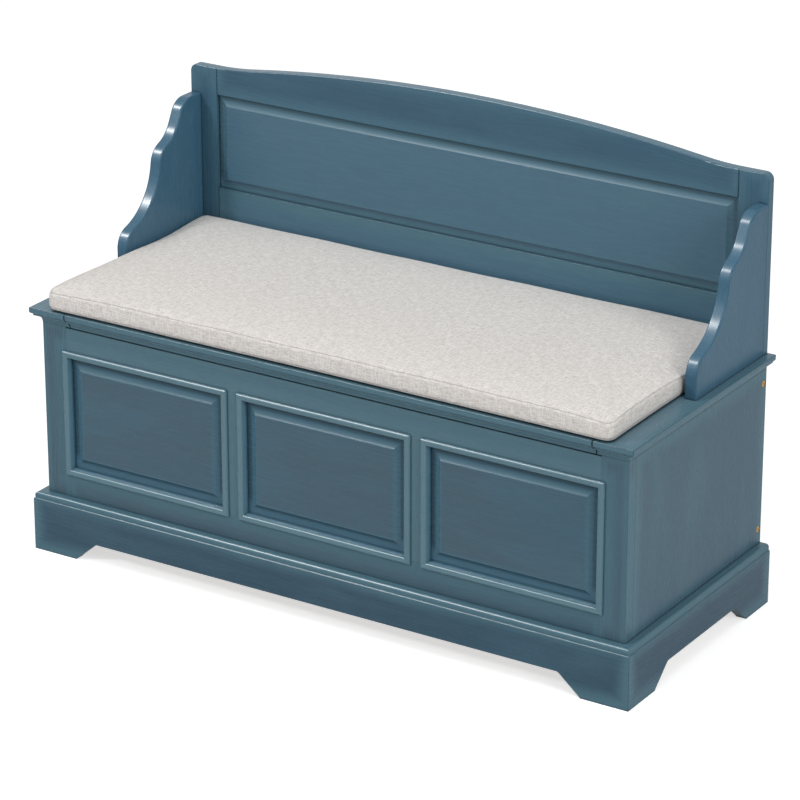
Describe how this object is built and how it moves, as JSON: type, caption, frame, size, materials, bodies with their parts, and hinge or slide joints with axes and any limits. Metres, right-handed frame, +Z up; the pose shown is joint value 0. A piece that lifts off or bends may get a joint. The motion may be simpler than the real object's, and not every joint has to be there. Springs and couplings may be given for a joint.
{
  "type": "storage bench",
  "caption": "Lift-lid storage bench with a panelled chest on bracket feet, arched panelled backrest, scroll-cut arms and a loose seat cushion.",
  "frame": {"origin": "on the floor, under the middle of the footprint", "axes": "+X to the right seen from the front, +Y to the rear, +Z up"},
  "size_m": [1.106, 0.454, 0.747],
  "materials": {
    "painted_wood": "blue-grey satin paint over wood with a faint grain",
    "bare_wood": "unpainted pale wood",
    "dowel_wood": "plain beech",
    "brass_bolt": "brass-coloured plating",
    "zinc_steel": "zinc-plated steel",
    "bumper_felt": "felt",
    "cushion_linen": "slubby linen-look weave, warm light grey"
  },
  "bodies": {
    "bench": {"arm_dowels": "dowel_wood", "arm_left": "painted_wood", "arm_right": "painted_wood", "arm_screws": "zinc_steel", "back_board": "painted_wood", "back_dowels": "dowel_wood", "back_panel": "painted_wood", "back_rail_bottom": "painted_wood", "back_rail_top": "painted_wood", "back_stile_left": "painted_wood", "back_stile_right": "painted_wood", "barrel_nuts": "zinc_steel", "body_bolts": "brass_bolt", "box_floor": "bare_wood", "corner_blocks": "bare_wood", "front_dowels": "dowel_wood", "front_muntin_left": "painted_wood", "front_muntin_right": "painted_wood", "front_panel_centre": "painted_wood", "front_panel_left": "painted_wood", "front_panel_right": "painted_wood", "front_rail_bottom": "painted_wood", "front_rail_top": "painted_wood", "front_stile_left": "painted_wood", "front_stile_right": "painted_wood", "hinge_fixed_leaves": "zinc_steel", "hinge_pins": "zinc_steel", "hinge_rail_screws": "zinc_steel", "lid_bumpers": "bumper_felt", "panel_moulding_centre": "painted_wood", "panel_moulding_left": "painted_wood", "panel_moulding_right": "painted_wood", "plinth_back_rail": "bare_wood", "plinth_front": "painted_wood", "plinth_side_left": "painted_wood", "plinth_side_right": "painted_wood", "seat_rear_rail": "painted_wood", "seat_strip_left": "painted_wood", "seat_strip_right": "painted_wood", "side_panel_left": "painted_wood", "side_panel_right": "painted_wood", "strip_dowels": "dowel_wood"},
    "lid": {"lid_board": "painted_wood", "lid_battens": "bare_wood", "batten_screws": "zinc_steel", "hinge_moving_leaves": "zinc_steel", "hinge_lid_screws": "zinc_steel"},
    "cushion": {"cushion": "cushion_linen"}
  },
  "joints": [
    {"name": "lid_hinge", "type": "hinge", "parent": "bench", "child": "lid", "pos_m": [0, 0.205, 0.4154], "axis": [-1, 0, 0], "range_deg": [0, 70]},
    {"name": "cushion_slide", "type": "slide", "parent": "lid", "child": "cushion", "axis": [0, -1, 0], "range_m": [0, 0.11]}
  ],
  "couplings": [
    {"joint": "cushion_slide", "follows": "lid_hinge", "m_per_rad": 0.09}
  ]
}
